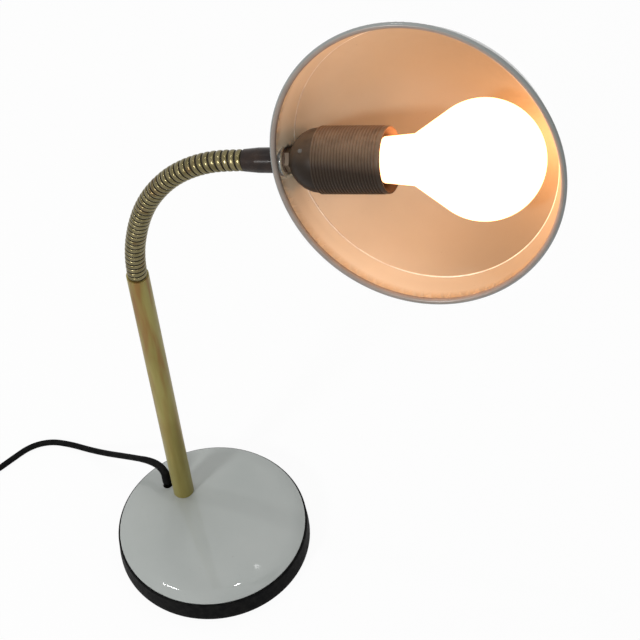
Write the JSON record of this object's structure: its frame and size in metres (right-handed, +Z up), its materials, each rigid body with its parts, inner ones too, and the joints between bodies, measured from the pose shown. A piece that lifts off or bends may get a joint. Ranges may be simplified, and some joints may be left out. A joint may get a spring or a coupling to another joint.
{
  "type": "gooseneck desk lamp",
  "caption": "Gooseneck desk lamp: weighted round base, brass stem, ribbed flexible neck, dished metal shade with lampholder and opal bulb, corded with in-line switch and plug.",
  "frame": {"origin": "centre of the base's underside, on the table", "axes": "+Z up, +Y from the middle of the base towards the stem, +X to the right seen with the stem behind"},
  "size_m": [0.3883, 0.4732, 0.5014],
  "materials": {
    "grey_lacquer": "gloss lacquer, pale grey; the inside of the shade is white",
    "aged_brass": "tarnished, satin",
    "bright_brass": "bright",
    "black_rubber": "satin",
    "black_cord": "satin",
    "black_felt": "felt",
    "black_tie": "matte",
    "cast_iron": "raw casting",
    "zinc_steel": "zinc plated",
    "plated_pins": "nickel plated",
    "lead_insulation": "brown and blue insulated leads",
    "brown_enamel": "dark brown, gloss",
    "fibre": "vulcanised fibre",
    "brown_bakelite": "phenolic, semi-gloss",
    "white_porcelain": "glazed",
    "opal_glass": "opal, lit",
    "cap_aluminium": "bright",
    "black_vitrite": "black glass insulator",
    "solder": "dull",
    "black_plastic": "gloss",
    "ivory_plastic": "gloss"
  },
  "bodies": {
    "stand": {"base_cover": "grey_lacquer", "base_band": "black_rubber", "base_weight": "cast_iron", "base_pad": "black_felt", "stem_tube": "aged_brass", "stem_foot_plug": "aged_brass", "stem_nipple": "zinc_steel", "stem_washer": "zinc_steel", "stem_nut": "zinc_steel", "stem_leads": "lead_insulation", "neck_plug": "aged_brass", "cord_gland": "black_rubber", "cord_lamp_side": "black_cord", "cord_middle": "black_cord", "cord_plug_side": "black_cord", "cord_coil": "black_cord", "coil_ties": "black_tie", "switch_lower": "black_plastic", "switch_upper": "black_plastic", "switch_screws": "zinc_steel", "plug_body": "black_plastic", "plug_pins": "plated_pins"},
    "neck_01": {"neck_link_01": "aged_brass"},
    "neck_02": {"neck_link_02": "aged_brass"},
    "neck_03": {"neck_link_03": "aged_brass"},
    "neck_04": {"neck_link_04": "aged_brass"},
    "neck_05": {"neck_link_05": "aged_brass"},
    "neck_06": {"neck_link_06": "aged_brass"},
    "neck_07": {"neck_link_07": "aged_brass"},
    "neck_08": {"neck_link_08": "aged_brass"},
    "neck_09": {"neck_link_09": "aged_brass"},
    "neck_10": {"neck_link_10": "aged_brass"},
    "neck_11": {"neck_link_11": "aged_brass"},
    "neck_12": {"neck_link_12": "aged_brass", "ferrule": "brown_enamel"},
    "head": {"head_nipple": "zinc_steel", "shade": "grey_lacquer", "shade_washer": "fibre", "shade_nut": "aged_brass", "holder_cap": "brown_bakelite", "holder_grub_screw": "zinc_steel", "holder_jacket": "brown_bakelite", "holder_insert": "white_porcelain", "holder_terminal_screws": "zinc_steel", "holder_shell": "bright_brass", "holder_tongue": "bright_brass", "bulb_glass": "opal_glass", "bulb_cap": "cap_aluminium", "bulb_insulator": "black_vitrite", "bulb_contact": "solder"},
    "rocker": {"switch_rocker": "ivory_plastic"}
  },
  "joints": [
    {"name": "neck_bend_01", "type": "hinge", "parent": "stand", "child": "neck_01", "pos_m": [0, 0.0334, 0.268], "axis": [0.7934, 0.6088, 0], "range_deg": [-3.01, 1.81]},
    {"name": "neck_bend_02", "type": "hinge", "parent": "neck_01", "child": "neck_02", "pos_m": [0.00036, 0.03293, 0.28169], "axis": [0.7934, 0.6088, 0], "range_deg": [-7.51, 4.51]},
    {"name": "neck_side_03", "type": "hinge", "parent": "neck_02", "child": "neck_03", "pos_m": [0.00145, 0.03151, 0.29527], "axis": [-0.5995, 0.7813, 0.1736], "range_deg": [-9.01, 9.01]},
    {"name": "neck_bend_04", "type": "hinge", "parent": "neck_03", "child": "neck_04", "pos_m": [0.00326, 0.02916, 0.30865], "axis": [0.7934, 0.6088, 0], "range_deg": [-6.76, 4.06]},
    {"name": "neck_bend_05", "type": "hinge", "parent": "neck_04", "child": "neck_05", "pos_m": [0.00556, 0.02616, 0.32181], "axis": [0.7934, 0.6088, 0], "range_deg": [-8.26, 4.96]},
    {"name": "neck_side_06", "type": "hinge", "parent": "neck_05", "child": "neck_06", "pos_m": [0.00848, 0.02235, 0.33465], "axis": [-0.5583, 0.7276, 0.3987], "range_deg": [-9.01, 9.01]},
    {"name": "neck_bend_07", "type": "hinge", "parent": "neck_06", "child": "neck_07", "pos_m": [0.0122, 0.0175, 0.34691], "axis": [0.7934, 0.6088, 0], "range_deg": [-9.76, 5.86]},
    {"name": "neck_bend_08", "type": "hinge", "parent": "neck_07", "child": "neck_08", "pos_m": [0.01674, 0.01158, 0.3584], "axis": [0.7934, 0.6088, 0], "range_deg": [-11.26, 6.76]},
    {"name": "neck_side_09", "type": "hinge", "parent": "neck_08", "child": "neck_09", "pos_m": [0.02205, 0.00467, 0.36897], "axis": [-0.4379, 0.5707, 0.6947], "range_deg": [-9, 9]},
    {"name": "neck_bend_10", "type": "hinge", "parent": "neck_09", "child": "neck_10", "pos_m": [0.02829, -0.00347, 0.37805], "axis": [0.7934, 0.6088, 0], "range_deg": [-14.26, 8.56]},
    {"name": "neck_bend_11", "type": "hinge", "parent": "neck_10", "child": "neck_11", "pos_m": [0.03533, -0.01264, 0.38541], "axis": [0.7934, 0.6088, 0], "range_deg": [-15, 9]},
    {"name": "neck_side_12", "type": "hinge", "parent": "neck_11", "child": "neck_12", "pos_m": [0.04306, -0.02271, 0.39054], "axis": [-0.177, 0.2306, 0.9568], "range_deg": [-9.01, 9.01]},
    {"name": "shade_turn", "type": "hinge", "parent": "neck_12", "child": "head", "pos_m": [0.05122, -0.03335, 0.39334], "axis": [0.5959, -0.7766, 0.2045], "range_deg": [-40, 115]},
    {"name": "switch_rocker", "type": "hinge", "parent": "stand", "child": "rocker", "pos_m": [-0.14665, 0.16505, 0.0116], "axis": [-0.2919, -0.9564, 0], "range_deg": [0, 14]}
  ],
  "couplings": [
    {"joint": "neck_bend_01", "follows": "neck_bend_11", "ratio": 0.2},
    {"joint": "neck_bend_02", "follows": "neck_bend_11", "ratio": 0.5},
    {"joint": "neck_side_03", "follows": "neck_side_09", "ratio": 1},
    {"joint": "neck_bend_04", "follows": "neck_bend_11", "ratio": 0.45},
    {"joint": "neck_bend_05", "follows": "neck_bend_11", "ratio": 0.55},
    {"joint": "neck_side_06", "follows": "neck_side_09", "ratio": 1},
    {"joint": "neck_bend_07", "follows": "neck_bend_11", "ratio": 0.65},
    {"joint": "neck_bend_08", "follows": "neck_bend_11", "ratio": 0.75},
    {"joint": "neck_bend_10", "follows": "neck_bend_11", "ratio": 0.95},
    {"joint": "neck_side_12", "follows": "neck_side_09", "ratio": 1}
  ]
}
